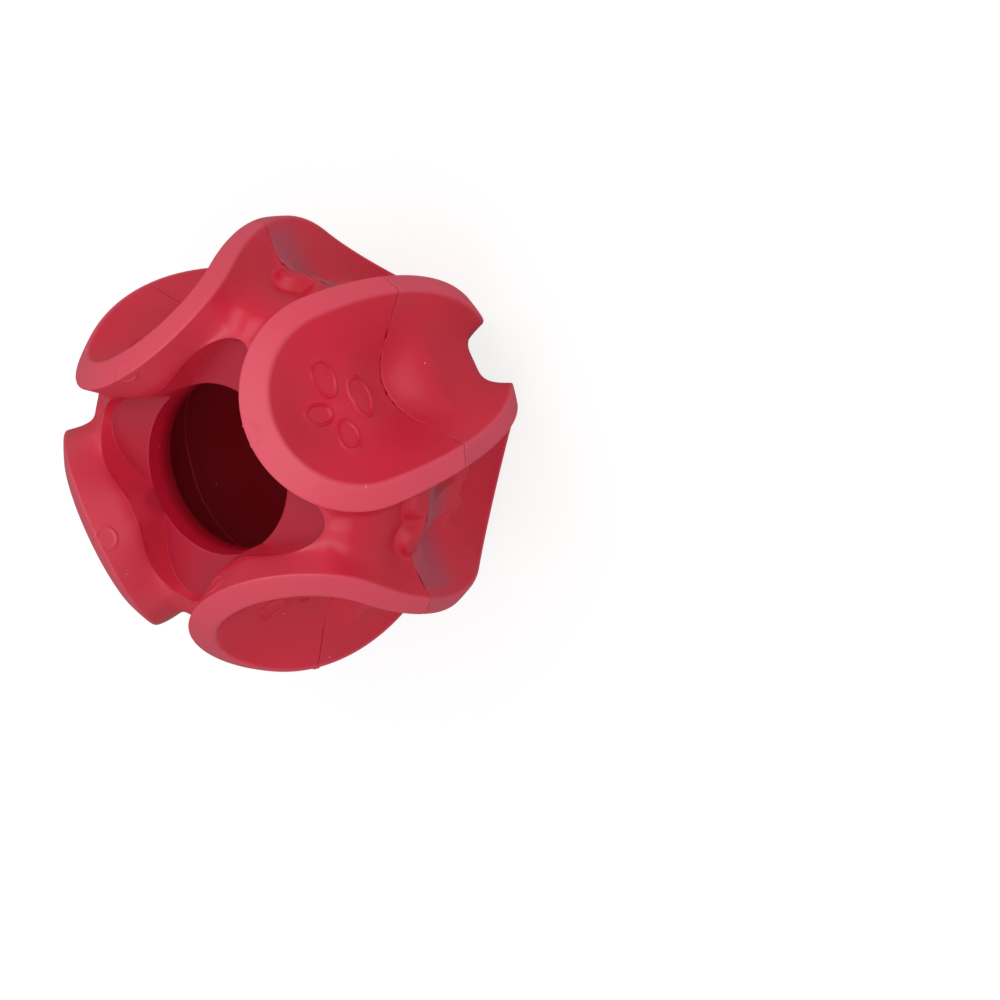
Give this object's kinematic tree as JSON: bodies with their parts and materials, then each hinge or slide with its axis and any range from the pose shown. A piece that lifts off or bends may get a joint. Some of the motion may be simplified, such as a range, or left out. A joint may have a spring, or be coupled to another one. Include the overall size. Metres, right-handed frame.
{
  "type": "treat dispensing ball",
  "caption": "Hollow moulded rubber ball with winding flat-topped ridges, dished lobes and a round treat hole at each end, for feeding treats as it rolls.",
  "frame": {"origin": "centre of the ball, on the axis of the two treat holes, a little below the seam", "axes": "+Z along the hole axis towards the upper half, whose dishes carry the four ovals; +X through the middle of a lobe of the upper half"},
  "size_m": [0.0848, 0.0848, 0.0784],
  "materials": {
    "rubber": "satin moulded natural rubber, red",
    "bond": "matt cured rubber cement, darker red"
  },
  "bodies": {
    "root": {"lower_half_shell": "rubber", "upper_half_shell": "rubber", "seam_bond": "bond"}
  },
  "joints": []
}
